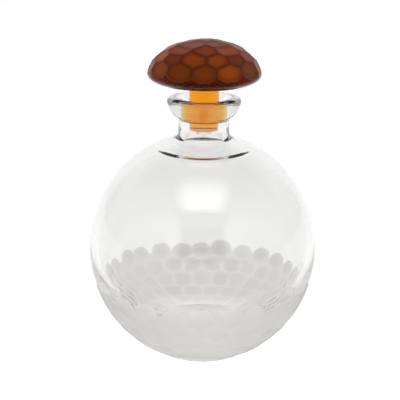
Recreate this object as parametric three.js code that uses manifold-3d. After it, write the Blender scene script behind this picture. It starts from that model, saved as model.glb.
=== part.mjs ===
// Stoppered scent bottle: a blown glass globe with a flared lip and a facet-cut lower half,
// closed by a ground glass plug under a facet-cut mushroom head.
// Millimetres, +Z up. The origin is the centre of the flat base that the bottle stands on.

import * as THREE from 'three';
import { mergeVertices } from 'three/addons/utils/BufferGeometryUtils.js';
import Module from 'manifold-3d';

const wasm = await Module();
wasm.setup();

// ---------------------------------------------------------------- driving dimensions

const SEGMENTS = 52;              // sides of every turned surface

const GLOBE_RADIUS = 50;          // outer radius at the equator
const GLOBE_HALF_HEIGHT = 51.3;   // outer half height, before the base is ground flat
const BASE_RADIUS = 20;           // ground flat that the bottle stands on
const WALL = 4;                   // glass thickness at the equator
const CAVITY_ROOF = 46.8;         // cavity half height above the equator
const CAVITY_FLOOR = 38;          // cavity depth below the equator, over a heavy base

const SHOULDER = 49.5;            // where the neck leaves the globe, above the equator
const NECK_RADIUS = 11;           // outside of the straight neck
const NECK_LENGTH = 8.5;          // from the shoulder up to where the lip flares out
const LIP_RADIUS = 15.9;          // widest part of the bowl-shaped lip
const LIP_HEIGHT = 9.5;           // from the foot of the flare to the top of the lip
const MOUTH_RADIUS = 8.8;         // where the rounded lip turns down into the mouth

const BORE_RADIUS = 6.6;          // ground bore at the top of the seat
const BORE_TAPER = 0.012;         // radius lost per millimetre of depth
const BORE_MOUTH = 65.2;          // top of the ground seat, above the equator
const BORE_FOOT = 53;             // bottom of the bore, where it flares into the cavity
const COLLAR_RADIUS = 18.3;       // edge of the thicker glass under the neck
const COLLAR_HEIGHT = 43.1;       // inner face of that edge, above the equator
const ROOF_RADIUS = 19.6;         // where the cavity takes up its ellipse, outside the collar

const SEAT_GAP = 0.3;             // clearance of the plug in the bore
const PLUG_FOOT = 53.6;           // lower end of the plug, above the equator
const PLUG_TOP = 71.2;            // upper end of the plug, under the head
const FOOT_CHAMFER = 0.5;         // broken edge at the lower end of the plug

const HEAD_RADIUS = 24.2;         // widest part of the mushroom head
const HEAD_WAIST = 77.1;          // height of that widest part, above the equator
const HEAD_TOP = 92.2;            // apex of the uncut dome
const HEAD_FOOT = 71.5;           // lowest part of the underside, where the plug joins

// Rows of flats ground into the dome of the head, from the rim up: how steeply they face up,
// how many there are, and how deep they are ground below the turned surface.
const HEAD_ROWS = [
  { elevation: 24, count: 13, depth: 0.8 },
  { elevation: 46, count: 13, depth: 0.75 },
  { elevation: 62, count: 8, depth: 0.95 },
  { elevation: 76, count: 5, depth: 0.85 },
  { elevation: 90, count: 1, depth: 0.5 },
];

// Rows of flats ground into the globe below its equator, from the top row down.
const GLOBE_ROWS = [
  { elevation: -18.8, count: 26, depth: 0.28 },
  { elevation: -27.8, count: 26, depth: 0.45 },
  { elevation: -37, count: 24, depth: 0.5 },
  { elevation: -47.5, count: 20, depth: 0.55 },
  { elevation: -60, count: 15, depth: 0.6 },
];

const FLAT_TOOL = { width: 24, depth: 6 };   // block whose face grinds one flat

const EQUATOR = GLOBE_HALF_HEIGHT * Math.sqrt(1 - (BASE_RADIUS / GLOBE_RADIUS) ** 2);

// ---------------------------------------------------------------- helpers

const radians = THREE.MathUtils.degToRad;

/** A point of a turned outline: radius, and height above the globe's equator. */
function at(radius, height) {
  return new THREE.Vector2(radius, EQUATOR + height);
}

/** Points on an ellipse centred on the axis at the equator, between two angles in degrees. */
function ellipseArc(halfWidth, halfHeight, fromAngle, toAngle, steps) {
  const points = [];
  for (let i = 0; i <= steps; i += 1) {
    const angle = radians(fromAngle + ((toAngle - fromAngle) * i) / steps);
    points.push(at(halfWidth * Math.cos(angle), halfHeight * Math.sin(angle)));
  }
  return points;
}

/** Points along a smooth curve through the given ones. */
function smooth(points, steps) {
  return new THREE.SplineCurve(points).getPoints(steps);
}

/** Angle in degrees of the point on an ellipse that lies at a given radius. */
function angleAtRadius(radius, halfWidth) {
  return THREE.MathUtils.radToDeg(Math.acos(radius / halfWidth));
}

/** A turned body about the vertical axis. */
function turned(outline) {
  const geometry = new THREE.LatheGeometry(outline, SEGMENTS);
  geometry.rotateX(Math.PI / 2);
  return geometry;
}

function toSolid(geometry) {
  const plain = geometry.clone();
  plain.deleteAttribute('normal');
  plain.deleteAttribute('uv');
  const merged = mergeVertices(plain, 1e-4);
  const mesh = new wasm.Mesh({
    numProp: 3,
    vertProperties: new Float32Array(merged.attributes.position.array),
    triVerts: new Uint32Array(merged.index.array),
  });
  mesh.merge();
  return new wasm.Manifold(mesh);
}

function toGeometry(solid) {
  const mesh = solid.getMesh();
  const geometry = new THREE.BufferGeometry();
  geometry.setAttribute('position', new THREE.BufferAttribute(mesh.vertProperties, 3));
  geometry.setIndex(new THREE.BufferAttribute(mesh.triVerts, 1));
  geometry.computeVertexNormals();
  return geometry;
}

/** A block whose near face is a plane at a distance from a centre, square to a direction. */
function flatTool(centreHeight, elevation, azimuth, distance) {
  const direction = new THREE.Vector3(
    Math.cos(radians(elevation)) * Math.cos(azimuth),
    Math.cos(radians(elevation)) * Math.sin(azimuth),
    Math.sin(radians(elevation)),
  );
  const block = new THREE.BoxGeometry(FLAT_TOOL.width, FLAT_TOOL.width, FLAT_TOOL.depth);
  const turn = new THREE.Quaternion().setFromUnitVectors(new THREE.Vector3(0, 0, 1), direction);
  block.applyQuaternion(turn);
  const place = direction.clone().multiplyScalar(distance + FLAT_TOOL.depth / 2);
  block.translate(place.x, place.y, place.z + centreHeight);
  return toSolid(block);
}

/** How far the plane that touches an ellipsoid, square to a direction, lies from its middle. */
function tangentDistance(halfWidth, halfHeight, elevation) {
  const angle = radians(elevation);
  return Math.hypot(halfWidth * Math.cos(angle), halfHeight * Math.sin(angle));
}

/** Grinds rows of flats into an ellipsoid; alternate rows are staggered by half a flat. */
function grindFlats(solid, rows, ellipsoid) {
  let ground = solid;
  rows.forEach((row, rowIndex) => {
    const touching = tangentDistance(ellipsoid.halfWidth, ellipsoid.halfHeight, row.elevation);
    const pitch = (2 * Math.PI) / row.count;
    const start = -Math.PI / 2 + (rowIndex % 2) * (pitch / 2);
    for (let i = 0; i < row.count; i += 1) {
      const azimuth = start + i * pitch;
      const distance = touching - row.depth;
      ground = ground.subtract(flatTool(ellipsoid.centre, row.elevation, azimuth, distance));
    }
  });
  return ground;
}

function named(name, geometry, material) {
  const mesh = new THREE.Mesh(geometry, material);
  mesh.name = name;
  return mesh;
}

// ---------------------------------------------------------------- bottle

/** Tapered bore radius at a height above the equator. */
function boreRadius(height) {
  return BORE_RADIUS - BORE_TAPER * (BORE_MOUTH - height);
}

/** Neck and bowl-shaped lip, from the shoulder up, over the rim and down to the ground seat. */
function neckOutline() {
  const flare = SHOULDER + NECK_LENGTH;
  const rim = flare + LIP_HEIGHT;
  return [
    at(NECK_RADIUS + 1, SHOULDER + 0.65),
    at(NECK_RADIUS + 0.3, SHOULDER + 1.7),
    at(NECK_RADIUS, SHOULDER + 3.5),
    at(NECK_RADIUS, flare),
    at(NECK_RADIUS + 2, flare + LIP_HEIGHT * 0.2),
    at(NECK_RADIUS + 3.9, flare + LIP_HEIGHT * 0.47),
    at(LIP_RADIUS - 0.4, flare + LIP_HEIGHT * 0.62),
    at(LIP_RADIUS, flare + LIP_HEIGHT * 0.78),
    at(LIP_RADIUS - 0.6, rim - 0.5),
    at(LIP_RADIUS - 2, rim - 0.1),
    at((LIP_RADIUS + MOUTH_RADIUS) / 2 - 0.7, rim),
    at(MOUTH_RADIUS, rim - 0.9),
    at(BORE_RADIUS + 0.4, BORE_MOUTH + 0.4),
    at(BORE_RADIUS, BORE_MOUTH),
  ];
}

/** Foot of the bore, flare, thick collar and cavity, down to the middle of the cavity floor. */
function cavityOutline() {
  const roofAngle = angleAtRadius(ROOF_RADIUS, GLOBE_RADIUS - WALL);
  const flare = smooth([
    at(boreRadius(BORE_FOOT), BORE_FOOT),
    at(BORE_RADIUS + 1.2, BORE_FOOT - 3.4),
    at(BORE_RADIUS + 4.8, BORE_FOOT - 7),
    at(COLLAR_RADIUS, COLLAR_HEIGHT),
  ], 8);
  return [
    ...flare,
    ...ellipseArc(GLOBE_RADIUS - WALL, CAVITY_ROOF, roofAngle, 0, 7),
    ...ellipseArc(GLOBE_RADIUS - WALL, CAVITY_FLOOR, 0, -90, 9).slice(1, -1),
    at(0, -CAVITY_FLOOR),
  ];
}

function bottle() {
  const shoulderAngle = angleAtRadius(NECK_RADIUS + 2.2, GLOBE_RADIUS);
  const baseAngle = -angleAtRadius(BASE_RADIUS, GLOBE_RADIUS);
  const outline = [
    new THREE.Vector2(0, 0),
    ...ellipseArc(GLOBE_RADIUS, GLOBE_HALF_HEIGHT, baseAngle, shoulderAngle, 22),
    ...neckOutline(),
    ...cavityOutline(),
  ];
  const globe = { centre: EQUATOR, halfWidth: GLOBE_RADIUS, halfHeight: GLOBE_HALF_HEIGHT };
  const cut = grindFlats(toSolid(turned(outline)), GLOBE_ROWS, globe);
  const glass = new THREE.MeshStandardMaterial({ color: 0xe8ece8, roughness: 0.05, metalness: 0 });
  return named('bottle', toGeometry(cut), glass);
}

// ---------------------------------------------------------------- stopper

/** Smooth polished underside of the head, from the plug out to the widest circle. */
function undersideOutline() {
  const rise = HEAD_WAIST - HEAD_FOOT;
  return [
    at(0, HEAD_FOOT),
    at(HEAD_RADIUS * 0.42, HEAD_FOOT + rise * 0.05),
    at(HEAD_RADIUS * 0.65, HEAD_FOOT + rise * 0.2),
    at(HEAD_RADIUS * 0.84, HEAD_FOOT + rise * 0.42),
    at(HEAD_RADIUS * 0.96, HEAD_FOOT + rise * 0.72),
  ];
}

/** Dome of the head before its flats are ground, from the widest circle up to the apex. */
function domeOutline() {
  const points = [];
  const steps = 12;
  const dome = HEAD_TOP - HEAD_WAIST;
  for (let i = 0; i < steps; i += 1) {
    const angle = radians((90 * i) / steps);
    points.push(at(HEAD_RADIUS * Math.cos(angle), HEAD_WAIST + dome * Math.sin(angle)));
  }
  points.push(at(0, HEAD_TOP));
  return points;
}

function stopperHead() {
  const blank = toSolid(turned([...undersideOutline(), ...domeOutline()]));
  const dome = {
    centre: EQUATOR + HEAD_WAIST,
    halfWidth: HEAD_RADIUS,
    halfHeight: HEAD_TOP - HEAD_WAIST,
  };
  const cut = grindFlats(blank, HEAD_ROWS, dome);
  const amber = new THREE.MeshStandardMaterial({ color: 0x7a2c10, roughness: 0.25, metalness: 0 });
  return named('stopper_head', toGeometry(cut), amber);
}

/** Ground plug that follows the tapered bore with an even clearance. */
function stopperPlug() {
  const foot = boreRadius(PLUG_FOOT) - SEAT_GAP;
  const outline = [
    at(0, PLUG_FOOT),
    at(foot - FOOT_CHAMFER, PLUG_FOOT),
    at(foot, PLUG_FOOT + FOOT_CHAMFER),
    at(boreRadius(BORE_MOUTH) - SEAT_GAP, BORE_MOUTH),
    at(boreRadius(BORE_MOUTH) - SEAT_GAP, PLUG_TOP),
    at(0, PLUG_TOP),
  ];
  const amber = new THREE.MeshStandardMaterial({ color: 0xf0a010, roughness: 0.3, metalness: 0 });
  return named('stopper_plug', turned(outline), amber);
}

// ---------------------------------------------------------------- assembly

const scentBottle = new THREE.Group();
scentBottle.add(bottle());

const stopper = new THREE.Group();
stopper.add(stopperHead());
stopper.add(stopperPlug());
scentBottle.add(stopper);

export default scentBottle;
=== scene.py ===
"""A stoppered scent bottle: clear blown glass, frosted wheel-cut lower half, amber stopper."""
import math
import random

import bpy
import numpy as np
from mathutils import Matrix, Vector


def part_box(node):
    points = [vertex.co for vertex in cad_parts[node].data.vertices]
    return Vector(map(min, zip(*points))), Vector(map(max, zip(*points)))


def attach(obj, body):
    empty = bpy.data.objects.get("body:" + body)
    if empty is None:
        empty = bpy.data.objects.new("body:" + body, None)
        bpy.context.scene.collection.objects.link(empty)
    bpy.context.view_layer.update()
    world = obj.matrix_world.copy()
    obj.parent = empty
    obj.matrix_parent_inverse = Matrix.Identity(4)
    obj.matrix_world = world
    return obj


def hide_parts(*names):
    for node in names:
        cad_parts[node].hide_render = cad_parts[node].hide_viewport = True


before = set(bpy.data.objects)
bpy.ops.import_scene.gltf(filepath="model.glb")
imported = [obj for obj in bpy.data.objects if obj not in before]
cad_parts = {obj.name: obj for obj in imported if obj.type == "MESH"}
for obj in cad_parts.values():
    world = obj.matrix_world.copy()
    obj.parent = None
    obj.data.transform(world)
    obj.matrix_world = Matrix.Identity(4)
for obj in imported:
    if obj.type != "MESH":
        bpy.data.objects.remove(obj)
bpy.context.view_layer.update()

MM = 0.001

# ------------------------------------------------------------------ sizes, in metres

BOTTLE_LOW, BOTTLE_HIGH = (Vector(end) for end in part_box("bottle"))
HEAD_LOW, HEAD_HIGH = (Vector(end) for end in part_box("stopper_head"))
PLUG_LOW = Vector(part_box("stopper_plug")[0])

GLOBE_R = (BOTTLE_HIGH.x - BOTTLE_LOW.x) / 2
GLOBE_H = 1.026 * GLOBE_R                    # half height of the globe before the base is cut
BASE_R = 0.40 * GLOBE_R                      # flat that the bottle stands on
EQUATOR = BOTTLE_LOW.z + GLOBE_H * math.sqrt(1 - (BASE_R / GLOBE_R) ** 2)

WALL = 4.0 * MM                              # glass at the equator
CAVITY_R = GLOBE_R - WALL
ROOF_H = GLOBE_H - 4.5 * MM                  # cavity half height above the equator
FLOOR_H = 38.0 * MM                          # cavity depth below the equator

NECK_FOOT_R = 13.2 * MM                      # where the neck leaves the globe
SEAT_TOP = BOTTLE_HIGH.z - 2.3 * MM
SEAT_R = 6.6 * MM                            # tapered seat at its top
TAPER = 0.012                                # radius lost per unit of depth
SEAT_FOOT = SEAT_TOP - 7.1 * MM              # below this the plug stands clear of the bore
BORE_FOOT = EQUATOR + 53.0 * MM
ROOF_R = 19.4 * MM                           # where the flare under the neck meets the cavity's roof

COLLAR_R = 19.9 * MM                         # uneven edge of the thick glass under the neck,
COLLAR_WIDTH = 1.7 * MM                      # a shallow step that is strongest at the front
COLLAR_STEP = 0.8 * MM
COLLAR_SPAN = (39.5 * MM, 44.5 * MM)         # heights above the equator that the step can reach

HEAD_R = (HEAD_HIGH.x - HEAD_LOW.x) / 2
HEAD_WAIST = HEAD_LOW.z + 5.6 * MM           # height of the head's widest circle
DOME_H = HEAD_HIGH.z - HEAD_WAIST + 0.6 * MM  # dome before its flats are ground
PLUG_R = SEAT_R - 0.2 * MM                   # plug above its seat
SEAT_BITE = 0.03 * MM                        # how far the plug reaches into the seat, so that they touch
HEAD_BITE = 0.1 * MM                         # and into the head
PLUG_SLACK = 0.3 * MM                        # gap round the plug below the seat
PLUG_EDGE = 0.5 * MM                         # rounding at the plug's foot

TINY = 1e-6                                  # lengths below this count as nothing


# ------------------------------------------------------------------ outlines

def ellipse(half_width, half_height, centre, start, stop, steps):
    """Radius and height pairs along an ellipse about the axis, between two angles in degrees."""
    angles = np.radians(np.linspace(start, stop, steps + 1))
    return [(half_width * math.cos(a), centre + half_height * math.sin(a)) for a in angles]


def corner(radius, height, rounding, steps=5):
    """A quarter circle from below its middle point round to level with it."""
    angles = np.radians(np.linspace(-90, 0, steps + 1))
    return [(radius + rounding * math.cos(a), height + rounding * math.sin(a)) for a in angles]


def through(points, step):
    """A Catmull-Rom curve through the given points, at an even spacing."""
    pts = [np.array(p, float) for p in points]
    pts = [2 * pts[0] - pts[1]] + pts + [2 * pts[-1] - pts[-2]]
    dense = []
    for a, b, c, d in zip(pts, pts[1:], pts[2:], pts[3:]):
        for t in np.linspace(0, 1, 24, endpoint=False):
            dense.append(0.5 * (2 * b + (c - a) * t + (2 * a - 5 * b + 4 * c - d) * t ** 2
                                + (3 * b - a - 3 * c + d) * t ** 3))
    dense.append(pts[-2])
    dense = np.array(dense)
    run = np.concatenate([[0], np.cumsum(np.linalg.norm(np.diff(dense, axis=0), axis=1))])
    count = max(2, int(round(run[-1] / step)) + 1)
    places = np.linspace(0, run[-1], count)
    return list(zip(np.interp(places, run, dense[:, 0]), np.interp(places, run, dense[:, 1])))


# ------------------------------------------------------------------ meshes

class Turned:
    """Vertices and faces of a turned surface whose rings may differ in how many sides they have."""

    def __init__(self):
        self.points = []
        self.faces = []
        self.last = None

    def ring(self, radius, height, sides):
        first = len(self.points)
        if radius < TINY:
            self.points.append((0.0, 0.0, height))
            now = (first, 1)
        else:
            turn = np.arange(sides) * (2 * math.pi / sides) - math.pi / 2
            for a in turn:
                self.points.append((radius * math.cos(a), radius * math.sin(a), height))
            now = (first, sides)
        if self.last is not None:
            self.bridge(self.last, now)
        self.last = now

    def bridge(self, low, high):
        """Joins two rings of the same, double or half as many sides, or a ring and a point."""
        (a, n), (b, m) = low, high
        if n == 1:
            self.faces += [(a, b + (j + 1) % m, b + j) for j in range(m)]
        elif m == 1:
            self.faces += [(a + i, a + (i + 1) % n, b) for i in range(n)]
        elif n == m:
            self.faces += [(a + i, a + (i + 1) % n, b + (i + 1) % n, b + i) for i in range(n)]
        elif n == 2 * m:
            for j in range(m):
                i, k = 2 * j, (2 * j + 2) % n
                self.faces.append((a + i, a + i + 1, b + j))
                self.faces.append((a + i + 1, b + (j + 1) % m, b + j))
                self.faces.append((a + i + 1, a + k, b + (j + 1) % m))
        elif m == 2 * n:
            for i in range(n):
                j, k = 2 * i, (2 * i + 2) % m
                self.faces.append((a + i, b + j + 1, b + j))
                self.faces.append((a + i, a + (i + 1) % n, b + j + 1))
                self.faces.append((a + (i + 1) % n, b + k, b + j + 1))

    def stretch(self, outline, sides):
        for radius, height in outline:
            self.ring(radius, height, sides)


def mesh_object(name, points, faces, attributes, material):
    mesh = bpy.data.meshes.new(name)
    mesh.from_pydata([tuple(p) for p in points], [], faces)
    mesh.polygons.foreach_set("use_smooth", [True] * len(mesh.polygons))
    for label, values in attributes.items():
        layer = mesh.attributes.new(label, "FLOAT", "POINT")
        layer.data.foreach_set("value", np.asarray(values, dtype=np.float32))
    mesh.materials.append(material)
    mesh.update()
    piece = bpy.data.objects.new(name, mesh)
    bpy.context.scene.collection.objects.link(piece)
    return piece


# ------------------------------------------------------------------ ground flats

def flats(rows, half_width, half_height, seed, slant=0.0):
    """Directions and distances of hand-ground flats, row by row, each a little off its place.

    The rows run slant degrees off level, highest at the front.
    """
    draw = random.Random(seed)
    normals, reach = [], []
    for index, (elevation, count, depth, wander) in enumerate(rows):
        pitch = 360.0 / count
        for i in range(count):
            azimuth = -90 + (i + 0.5 * (index % 2)) * pitch + draw.uniform(-1, 1) * wander * pitch
            a = math.radians(azimuth)
            e = math.radians(elevation - slant * math.sin(a) + draw.uniform(-1, 1) * wander * 9)
            normals.append((math.cos(e) * math.cos(a), math.cos(e) * math.sin(a), math.sin(e)))
            touching = math.hypot(half_width * math.cos(e), half_height * math.sin(e))
            reach.append(touching - depth * (1 + draw.uniform(-1, 1) * wander))
    return np.array(normals), np.array(reach)


def grind(points, centre, normals, reach, hollow):
    """Moves points in towards the centre, onto the flats.

    Each flat is slightly hollow, as a wheel leaves it: hollow gives the radius of the hollow
    across the flat and up it. Returns the new points, how deep each one lies inside its flat,
    how far it is from the next flat, and its flat's number.
    """
    across = np.cross((0.0, 0.0, 1.0), normals)
    size = np.linalg.norm(across, axis=1)
    across[size < TINY] = (1.0, 0.0, 0.0)
    across /= np.where(size < TINY, 1.0, size)[:, None]
    upward = np.cross(normals, across)
    rel = points - centre
    length = np.linalg.norm(rel, axis=1)
    way = rel / length[:, None]
    straight = way @ normals.T
    curve = (way @ across.T) ** 2 / (2 * hollow[0]) + (way @ upward.T) ** 2 / (2 * hollow[1])
    root = np.sqrt(np.maximum(straight ** 2 - 4 * curve * reach, 0))
    cut = 2 * reach / np.maximum(straight + root, TINY)
    facing_away = straight < 0.3
    cut[facing_away] = np.inf
    which = np.argmin(cut, axis=1)
    order = np.partition(cut, 1, axis=1)[:, :2]
    first, second = order[:, 0], order[:, 1]
    ground = np.minimum(length, first)
    depth = np.where(np.isfinite(first), length - first, -1.0)
    gap = np.where(np.isfinite(second), second, length + 1.0) - np.minimum(first, length)
    gap = np.minimum(gap, np.abs(depth))
    return centre + way * ground[:, None], depth, gap, which


# ------------------------------------------------------------------ material helpers

def new_material(name):
    material = bpy.data.materials.new(name)
    material.use_nodes = True
    tree = material.node_tree
    return material, tree, tree.nodes["Principled BSDF"]


def link(tree, out, into):
    tree.links.new(out, into)


def noise(tree, scale):
    coords = tree.nodes.new("ShaderNodeTexCoord")
    node = tree.nodes.new("ShaderNodeTexNoise")
    node.inputs["Scale"].default_value = scale
    node.inputs["Detail"].default_value = 4
    node.inputs["Roughness"].default_value = 0.7
    link(tree, coords.outputs["Object"], node.inputs["Vector"])
    return node.outputs["Fac"]


def spread(tree, value, low, high, to_low, to_high):
    node = tree.nodes.new("ShaderNodeMapRange")
    node.inputs["From Min"].default_value = low
    node.inputs["From Max"].default_value = high
    node.inputs["To Min"].default_value = to_low
    node.inputs["To Max"].default_value = to_high
    link(tree, value, node.inputs["Value"])
    return node.outputs["Result"]


def maths(tree, operation, first, second):
    node = tree.nodes.new("ShaderNodeMath")
    node.operation = operation
    for socket, value in zip(node.inputs, (first, second)):
        if isinstance(value, (int, float)):
            socket.default_value = value
        else:
            link(tree, value, socket)
    return node.outputs["Value"]


def mix(tree, factor, first, second):
    """Mixes two colours, of which each is three numbers or another node's output."""
    node = tree.nodes.new("ShaderNodeMix")
    node.data_type = "RGBA"
    for name, colour in (("A", first), ("B", second)):
        if isinstance(colour, tuple):
            node.inputs[name].default_value = (*colour, 1)
        else:
            link(tree, colour, node.inputs[name])
    link(tree, factor, node.inputs["Factor"])
    return node.outputs["Result"]


def attribute(tree, name):
    node = tree.nodes.new("ShaderNodeAttribute")
    node.attribute_name = name
    return node.outputs["Fac"]


def absorb(tree, red, green, blue):
    """Absorption of each colour, per millimetre of glass."""
    most = max(red, green, blue)
    node = tree.nodes.new("ShaderNodeVolumeAbsorption")
    node.inputs["Color"].default_value = (1 - red / most, 1 - green / most, 1 - blue / most, 1)
    node.inputs["Density"].default_value = most / MM
    link(tree, node.outputs["Volume"], tree.nodes["Material Output"].inputs["Volume"])


def glass_base(shader, ior):
    shader.inputs["Transmission Weight"].default_value = 1.0
    shader.inputs["IOR"].default_value = ior


def roughen(tree, shader, frost, grains, low, high):
    """Makes the glass rough where frost is 1, between low and high, in fine grains."""
    grain = spread(tree, noise(tree, grains), 0.3, 0.7, low, high)
    link(tree, maths(tree, "MULTIPLY", frost, grain), shader.inputs["Roughness"])


# ------------------------------------------------------------------ materials

CLEAR_TINT = (0.925, 0.925, 0.92)
FROST_LIGHT = (1.0, 0.992, 0.98)             # ridges between the frosted cuts
FROST_DARK = (0.85, 0.832, 0.812)            # the darkest of the cuts; painted shade pushes the back ones towards it
AMBER_TINT = (1, 0.5, 0.2)                   # polished rim of the head
SATIN_DARK = (0.15, 0.022, 0.003)            # ridges between the head's cuts
SATIN_LIGHT = (0.68, 0.145, 0.016)           # the lightest of the head's cuts
AMBER_SHEEN = (1, 0.72, 0.4, 1)


def clear_glass():
    """Clear glass; where the mesh says frost it is blasted, and its tone darkens the cuts, by a random
    tone per cut and by painted shade towards the back.
    """
    material, tree, shader = new_material("clear_glass")
    glass_base(shader, ior=1.5)
    frost = attribute(tree, "frost")
    blasted = mix(tree, attribute(tree, "tone"), FROST_LIGHT, FROST_DARK)
    link(tree, mix(tree, frost, CLEAR_TINT, blasted), shader.inputs["Base Color"])
    link(tree, spread(tree, frost, 0, 1, 1, 0.7), shader.inputs["Transmission Weight"])
    roughen(tree, shader, frost, 900, 0.62, 0.76)
    absorb(tree, red=0.0040, green=0.0044, blue=0.0047)
    return material


def amber_base(shader, ior):
    glass_base(shader, ior)
    shader.inputs["Specular IOR Level"].default_value = 0.1
    shader.inputs["Specular Tint"].default_value = AMBER_SHEEN


def amber_head():
    """Dark amber glass whose cuts are satin, each with its own tone."""
    material, tree, shader = new_material("amber_head_glass")
    amber_base(shader, ior=1.25)
    frost = attribute(tree, "frost")
    satin = mix(tree, attribute(tree, "tone"), SATIN_DARK, SATIN_LIGHT)
    link(tree, mix(tree, frost, AMBER_TINT, satin), shader.inputs["Base Color"])
    link(tree, spread(tree, frost, 0, 1, 1, 0.65), shader.inputs["Transmission Weight"])
    roughen(tree, shader, frost, 700, 0.36, 0.48)
    absorb(tree, red=0.055, green=0.18, blue=0.60)
    return material


def amber_plug():
    """Orange-amber glass. Its mesh says frost 0, so it is polished all over."""
    material, tree, shader = new_material("amber_plug_glass")
    amber_base(shader, ior=1.5)
    shader.inputs["Base Color"].default_value = (1, 1, 1, 1)
    roughen(tree, shader, attribute(tree, "frost"), 900, 0.3, 0.42)
    absorb(tree, red=0.006, green=0.086, blue=0.60)
    return material


NEAR_GLOW = 0.63
FAR_GLOW = 0.61
FOOT_GLOW = 1.6                              # times brighter under the bottle


def floor_material():
    """White card that glows, brighter under the bottle, where real glass gathers the light."""
    material, tree, shader = new_material("floor")
    shader.inputs["Base Color"].default_value = (0.7, 0.7, 0.7, 1)
    shader.inputs["Roughness"].default_value = 0.9
    shader.inputs["Emission Color"].default_value = (1, 1, 1, 1)
    coords = tree.nodes.new("ShaderNodeTexCoord")
    distance = tree.nodes.new("ShaderNodeVectorMath")
    distance.operation = "LENGTH"
    link(tree, coords.outputs["Object"], distance.inputs[0])
    foot = spread(tree, distance.outputs["Value"], 0.35 * GLOBE_R, 0.8 * GLOBE_R, FOOT_GLOW, 1)
    glow = spread(tree, distance.outputs["Value"], 0.1, 0.8, NEAR_GLOW, FAR_GLOW)
    glow = maths(tree, "MULTIPLY", foot, glow)
    link(tree, glow, shader.inputs["Emission Strength"])
    return material


# ------------------------------------------------------------------ bottle

GLOBE_ROWS = [                    # elevation, count, depth, wander
    (-18.8, 26, 0.36 * MM, 0.12),
    (-27.8, 26, 0.42 * MM, 0.10),
    (-37, 24, 0.50 * MM, 0.10),
    (-47.5, 20, 0.55 * MM, 0.10),
    (-60, 14, 0.70 * MM, 0.10),
]
GLOBE_SLANT = 2.5                 # degrees that the rows run off level
GLOBE_HOLLOW = (400 * MM, 70 * MM)           # radius of a cut's hollow, across it and up it
FROST_TOP = EQUATOR - 6 * MM      # the cuts are all below this
FROST_EDGE = 18.0                 # degrees below level where the blasting begins
FROST_FADE = 2.5                  # degrees over which it reaches its full strength
BLASTED = 0.9                     # frost between the cuts and on the base; the cuts have 1
BLUR = 0.2 * MM                   # width of the soft edge of a cut
RIDGE = 0.3 * MM                  # width of the light border of a cut
PLAIN_TONE = 0.3                  # tone outside the cuts
FINE, MEDIUM, COARSE = 704, 352, 176         # sides of the rings
FINE_FROM, FINE_TO = -48.0, -7.0             # elevations between which the rings are finest


def seat_radius(height):
    return SEAT_R - TAPER * (SEAT_TOP - height)


def neck_outline():
    """Neck and flared lip, from the shoulder over the rim and down to the seat."""
    shape = [(13.2, 49.49), (12.0, 50.15), (11.3, 51.2), (11.0, 53.0), (10.9, 56.0), (11.0, 58.0),
             (11.8, 58.9), (13.0, 59.9), (14.1, 61.2), (14.9, 62.5), (15.5, 63.9), (15.85, 65.2),
             (15.75, 66.3), (15.1, 67.0), (14.0, 67.4), (12.6, 67.5), (11.2, 67.4), (9.9, 67.1),
             (8.7, 66.6), (7.7, 66.0), (6.95, 65.5), (6.62, 65.2)]
    return through([(r * MM, EQUATOR + z * MM) for r, z in shape], 0.4 * MM)


def flare_outline():
    """The flare of the bore under the neck, down to the cavity's roof."""
    shape = [(6.46, 52.9), (6.6, 52.2), (7.0, 51.0), (7.6, 49.6), (8.3, 48.2), (9.1, 47.0), (10.0, 46.2),
             (11.3, 45.6), (13.0, 44.95), (14.6, 44.4), (16.4, 43.72), (18.0, 43.06), (19.4, 42.44)]
    return through([(r * MM, EQUATOR + z * MM) for r, z in shape], 0.3 * MM)


def bottle_skin():
    """The whole surface: up the outside from the base, over the lip and down the inside."""
    skin = Turned()
    globe = (GLOBE_R, GLOBE_H, EQUATOR)
    base_angle = -math.degrees(math.acos(BASE_R / GLOBE_R))
    shoulder_angle = math.degrees(math.acos(NECK_FOOT_R / GLOBE_R))
    roof_angle = math.degrees(math.acos(ROOF_R / CAVITY_R))
    skin.ring(0, BOTTLE_LOW.z, 1)
    skin.stretch([(r * BASE_R, BOTTLE_LOW.z) for r in (0.4, 0.8, 0.96)], MEDIUM)
    skin.stretch(ellipse(*globe, base_angle, FINE_FROM, 48)[:-1], MEDIUM)
    skin.stretch(ellipse(*globe, FINE_FROM, FINE_TO, 76), FINE)
    skin.stretch(ellipse(*globe, FINE_TO, shoulder_angle, 44)[1:-1], MEDIUM)
    skin.stretch(neck_outline(), COARSE)
    skin.stretch([(seat_radius(z), z) for z in np.linspace(SEAT_TOP, BORE_FOOT, 24)[1:-1]], COARSE)
    skin.stretch(flare_outline(), COARSE)
    skin.stretch(ellipse(CAVITY_R, ROOF_H, EQUATOR, roof_angle, 0, 36)[1:], COARSE)
    skin.stretch(ellipse(CAVITY_R, FLOOR_H, EQUATOR, 0, -89, 44)[1:], COARSE)
    skin.ring(0, EQUATOR - FLOOR_H, 1)
    return skin


def step_collar(points):
    """Raises the collar's shallow step in the cavity's roof, at the front only."""
    radius = np.hypot(points[:, 0], points[:, 1])
    height = points[:, 2] - EQUATOR
    roof = (height > COLLAR_SPAN[0]) & (height < COLLAR_SPAN[1])
    towards_front = np.clip(-points[:, 1] / radius.clip(TINY) * 1.5 - 0.4, 0, 1)
    step = np.exp(-((radius - COLLAR_R) / COLLAR_WIDTH) ** 2)
    points[roof, 2] += (COLLAR_STEP * step * towards_front)[roof]


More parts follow.
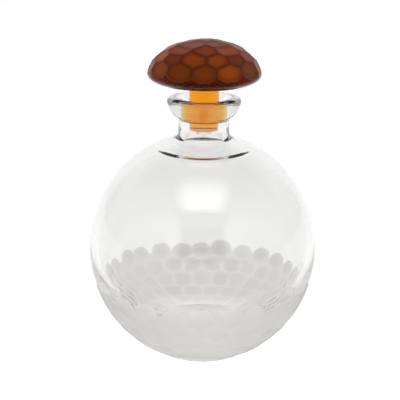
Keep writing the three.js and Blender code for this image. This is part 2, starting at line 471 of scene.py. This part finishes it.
def cut_globe(points):
    """Grinds the frosted cuts; returns each point's frost and its tone, which carries painted shade:
    lighter at the front, darker towards the back.
    """
    radius = np.hypot(points[:, 0], points[:, 1])
    height = points[:, 2] - EQUATOR
    outside = (radius / (GLOBE_R - WALL / 2)) ** 2 + (height / (FLOOR_H + WALL)) ** 2 > 1
    on_base = points[:, 2] < BOTTLE_LOW.z + TINY
    cut = outside & (points[:, 2] < FROST_TOP) & ~on_base
    normals, reach = flats(GLOBE_ROWS, GLOBE_R, GLOBE_H, seed=11, slant=GLOBE_SLANT)
    centre = np.array([0.0, 0.0, EQUATOR])
    points[cut], depth, gap, which = grind(points[cut], centre, normals, reach, GLOBE_HOLLOW)
    back = points[cut, 1] / GLOBE_R

    edge = np.clip(0.5 + gap / BLUR, 0, 1)
    facing = np.degrees(np.arctan2(-height[cut], radius[cut])) - GLOBE_SLANT * back
    between = BLASTED * np.clip((facing - FROST_EDGE) / FROST_FADE, 0, 1)
    frost = np.zeros(len(points))
    frost[cut] = np.where(depth > 0, edge, between)
    frost[on_base] = BLASTED

    draw = random.Random(5)
    tones = np.array([draw.uniform(0.6, 1.0) for _ in normals])
    # painted shade: each cut's random tone is scaled from light at the front to dark at the back,
    # standing in for the light falling from the front
    shade = tones[which] * (0.55 + 0.6 * back)
    tone = np.full(len(points), PLAIN_TONE)
    tone[cut] = np.where(depth > 0, np.clip(gap / RIDGE, 0, 1) * shade, PLAIN_TONE)
    return frost, tone


def bottle():
    skin = bottle_skin()
    points = np.array(skin.points)
    step_collar(points)
    frost, tone = cut_globe(points)
    attributes = {"frost": frost, "tone": tone}
    piece = mesh_object("glass_bottle", points, skin.faces, attributes, clear_glass())
    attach(piece, "bottle")
    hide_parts("bottle")


# ------------------------------------------------------------------ stopper

HEAD_ROWS = [                     # elevation, count, depth, wander
    (24, 13, 1.05 * MM, 0.06),
    (46, 13, 1.08 * MM, 0.10),
    (62, 8, 1.10 * MM, 0.10),
    (76, 5, 1.00 * MM, 0.10),
    (90, 1, 0.55 * MM, 0.0),
]
HEAD_HOLLOW = (120 * MM, 120 * MM)
HEAD_SIDES = 416
HEAD_RIDGE = 0.9 * MM             # width of the dark border of a cut


def head_skin():
    """The head before its cuts are ground: a rounded underside and an elliptical dome."""
    skin = Turned()
    foot = HEAD_LOW.z
    rise = HEAD_WAIST - foot
    under = [(0.42, 0.05), (0.65, 0.2), (0.84, 0.42), (0.96, 0.72), (1.0, 1.0)]
    slope = under[0][1] / under[0][0]
    skin.ring(0, foot, 1)
    skin.stretch([(HEAD_R * f, foot + rise * slope * f) for f in (0.15, 0.3)], HEAD_SIDES // 2)
    curve = through([(HEAD_R * r, foot + rise * z) for r, z in under], 0.4 * MM)
    skin.stretch(curve[:-1], HEAD_SIDES)
    skin.stretch(ellipse(HEAD_R, DOME_H, HEAD_WAIST, 0, 87, 72), HEAD_SIDES)
    skin.ring(0, HEAD_WAIST + DOME_H, 1)
    return skin


def stopper_head():
    skin = head_skin()
    points = np.array(skin.points)
    dome = points[:, 2] > HEAD_WAIST + 0.01 * MM
    normals, reach = flats(HEAD_ROWS, HEAD_R, DOME_H, seed=4)
    centre = np.array([0.0, 0.0, HEAD_WAIST])
    points[dome], depth, gap, which = grind(points[dome], centre, normals, reach, HEAD_HOLLOW)
    frost = np.zeros(len(points))
    frost[dome] = np.where(depth > 0, 1.0, 0.0)
    draw = random.Random(8)
    tones = np.array([draw.uniform(0.3, 1.0) for _ in normals])
    tone = np.zeros(len(points))
    tone[dome] = np.where(depth > 0, np.clip(0.1 + gap / HEAD_RIDGE, 0, 1) * tones[which], 0)
    attributes = {"frost": frost, "tone": tone}
    piece = mesh_object("amber_head", points, skin.faces, attributes, amber_head())
    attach(piece, "stopper")
    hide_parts("stopper_head")


def plug_skin():
    """The plug: a rounded foot, a slack taper, the ground seat and a straight neck into the head."""
    skin = Turned()
    foot = PLUG_LOW.z
    top = HEAD_LOW.z + HEAD_BITE
    foot_r = seat_radius(foot) - PLUG_SLACK
    slack = np.linspace(foot + PLUG_EDGE, SEAT_FOOT, 12)[1:]
    seat = np.linspace(SEAT_FOOT + 0.1 * MM, SEAT_TOP - 0.1 * MM, 24)
    neck = np.linspace(SEAT_TOP, top, 12)[1:]
    skin.ring(0, foot, 1)
    skin.stretch([((foot_r - PLUG_EDGE) * t, foot) for t in (0.3, 0.6, 0.9)], COARSE)
    skin.stretch(corner(foot_r - PLUG_EDGE, foot + PLUG_EDGE, PLUG_EDGE), COARSE)
    skin.stretch([(seat_radius(z) - PLUG_SLACK, z) for z in slack], COARSE)
    skin.stretch([(seat_radius(z) + SEAT_BITE, z) for z in seat], COARSE)
    skin.stretch([(PLUG_R, z) for z in neck], COARSE)
    skin.stretch([(PLUG_R * t, top) for t in (0.97, 0.6, 0.3)], COARSE)
    skin.ring(0, top, 1)
    return skin


def stopper_plug():
    skin = plug_skin()
    points = np.array(skin.points)
    attributes = {"frost": np.zeros(len(points))}
    piece = mesh_object("amber_plug", points, skin.faces, attributes, amber_plug())
    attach(piece, "stopper")
    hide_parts("stopper_plug")


# ------------------------------------------------------------------ studio

WALL_LIGHT = 1.0
SIDE_LIGHT = 0.8                             # the side walls, as a part of WALL_LIGHT
CEILING_LIGHT = 0.3
FLOOR_R = 6.0
SOFTBOX_PLACE = (0, -0.185, EQUATOR + 0.45)
SOFTBOX_SIZE = (0.50, 0.35)
SOFTBOX_LIGHT = 2.8
LENS = 90.4                                  # millimetres, on a sensor 36 mm wide
CAMERA_PLACE = (-1.3 * MM, -422.3 * MM, EQUATOR + 150.4 * MM)
CAMERA_PITCH = 16.98                         # degrees down
CAMERA_ROLL = 0.6                            # degrees, as the photographed bottle leans


def floor():
    bpy.ops.mesh.primitive_circle_add(vertices=96, radius=FLOOR_R, fill_type="NGON", location=(0, 0, 0))
    plane = bpy.context.object
    plane.name = "floor"
    plane.data.materials.append(floor_material())
    plane.location.z = BOTTLE_LOW.z - 0.1 * MM


def room():
    """A white studio, dim overhead, a little dimmer to the sides, and dark behind the camera."""
    world = bpy.data.worlds.new("studio")
    bpy.context.scene.world = world
    world.use_nodes = True
    tree = world.node_tree
    coords = tree.nodes.new("ShaderNodeTexCoord")
    split = tree.nodes.new("ShaderNodeSeparateXYZ")
    link(tree, coords.outputs["Generated"], split.inputs["Vector"])
    x, y, z = split.outputs
    aside = maths(tree, "ABSOLUTE", x, 0)
    walls = spread(tree, z, 0.5, 0.9, WALL_LIGHT, CEILING_LIGHT)
    behind = spread(tree, y, -0.45, -0.62, 0, 1)
    between = spread(tree, aside, 0.34, 0.44, 1, 0)
    low = spread(tree, z, 0.02, 0.07, 0, 1)
    dark = maths(tree, "MULTIPLY", maths(tree, "MULTIPLY", behind, between), low)
    sides = spread(tree, aside, 0.5, 0.8, 1, SIDE_LIGHT)
    walls = maths(tree, "MULTIPLY", walls, sides)
    light = maths(tree, "MULTIPLY", walls, maths(tree, "SUBTRACT", 1.0, dark))
    link(tree, light, tree.nodes["Background"].inputs["Color"])
    tree.nodes["Background"].inputs["Strength"].default_value = 1.0


def softbox():
    """A glowing cloth above and before the bottle, fading to its sides and towards its back edge."""
    bpy.ops.mesh.primitive_plane_add(size=1, location=SOFTBOX_PLACE, rotation=(math.pi, 0, 0))
    cloth = bpy.context.object
    cloth.name = "softbox"
    cloth.scale = (*SOFTBOX_SIZE, 1)
    material = bpy.data.materials.new("softbox")
    material.use_nodes = True
    tree = material.node_tree
    tree.nodes.clear()
    coords = tree.nodes.new("ShaderNodeTexCoord")
    split = tree.nodes.new("ShaderNodeSeparateXYZ")
    link(tree, coords.outputs["Object"], split.inputs["Vector"])
    across = spread(tree, maths(tree, "ABSOLUTE", split.outputs["X"], 0), 0.24, 0.5, 1, 0)
    along = spread(tree, split.outputs["Y"], -0.5, 0.0, 0, 1)
    glow = tree.nodes.new("ShaderNodeEmission")
    strength = maths(tree, "MULTIPLY", maths(tree, "MULTIPLY", across, along), SOFTBOX_LIGHT)
    link(tree, strength, glow.inputs["Strength"])
    output = tree.nodes.new("ShaderNodeOutputMaterial")
    link(tree, glow.outputs["Emission"], output.inputs["Surface"])
    cloth.data.materials.append(material)


def camera():
    data = bpy.data.cameras.new("camera")
    data.sensor_width = 36
    data.lens = LENS
    data.clip_start = 0.01
    eye = bpy.data.objects.new("camera", data)
    bpy.context.scene.collection.objects.link(eye)
    tilt = Matrix.Rotation(math.pi / 2 - math.radians(CAMERA_PITCH), 4, "X")
    lean = Matrix.Rotation(math.radians(CAMERA_ROLL), 4, "Z")
    eye.matrix_world = Matrix.Translation(CAMERA_PLACE) @ tilt @ lean
    bpy.context.scene.camera = eye


def render_look():
    scene = bpy.context.scene
    scene.view_settings.view_transform = "Standard"
    scene.cycles.max_bounces = 24
    scene.cycles.transmission_bounces = 24
    scene.cycles.glossy_bounces = 8


camera()
bottle()
stopper_head()
stopper_plug()
floor()
room()
softbox()
render_look()
